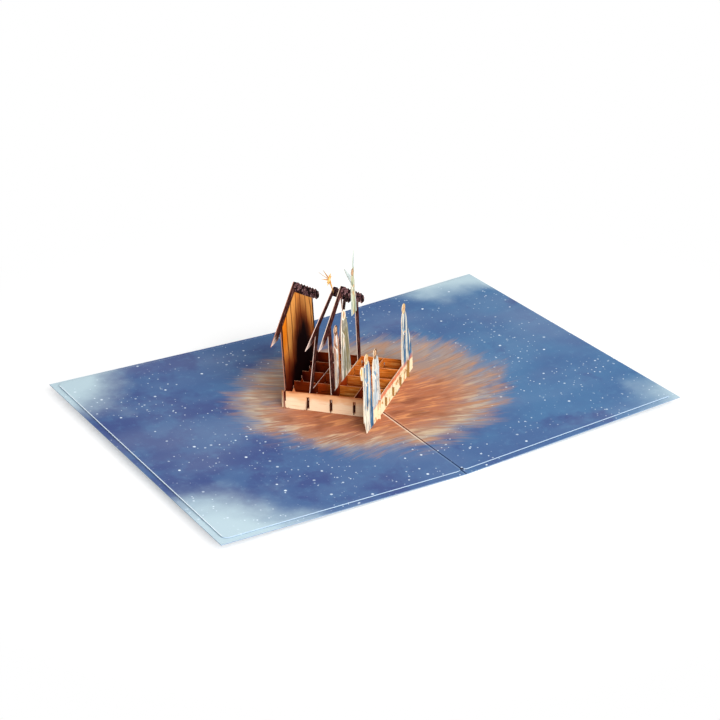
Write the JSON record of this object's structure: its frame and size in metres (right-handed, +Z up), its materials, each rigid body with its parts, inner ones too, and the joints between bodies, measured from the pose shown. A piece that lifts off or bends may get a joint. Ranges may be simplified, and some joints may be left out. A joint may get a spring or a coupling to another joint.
{
  "type": "pop up card",
  "caption": "Folded greeting card lying open, with a box of crossing card slats over the fold that carries a stable's gables, robed figures and a comet star.",
  "frame": {"origin": "middle of the fold, on the surface that the card stands on", "axes": "+X across the open card to the right panel, +Y along the fold to the back, +Z up"},
  "size_m": [0.2538, 0.178, 0.0784],
  "materials": {
    "cover_card": "matt card, pale blue outside",
    "printed_liner": "matt card, printed night sky with a straw coloured disc",
    "wood_print": "matt card, printed pale timber",
    "lattice_print": "matt card, printed red brown",
    "stable_print": "matt card, printed boards with a dark glow",
    "timber_print": "matt card, printed dark timber",
    "figure_print": "matt card, printed robes in white and blue",
    "gold_print": "matt card, printed gold",
    "pale_print": "matt card, printed pale green and cream"
  },
  "bodies": {
    "root": {"cover": "cover_card", "liner": "printed_liner", "front_wall": "wood_print", "lattice_slat_2": "lattice_print", "lattice_slat_3": "lattice_print", "lattice_slat_4": "lattice_print", "back_wall": "lattice_print", "left_gable": "stable_print", "gable_frame_2": "timber_print", "gable_frame_3": "timber_print", "lattice_cross_slat": "lattice_print", "right_wall": "figure_print", "comet_star": "gold_print", "winged_figure": "pale_print"}
  },
  "joints": []
}
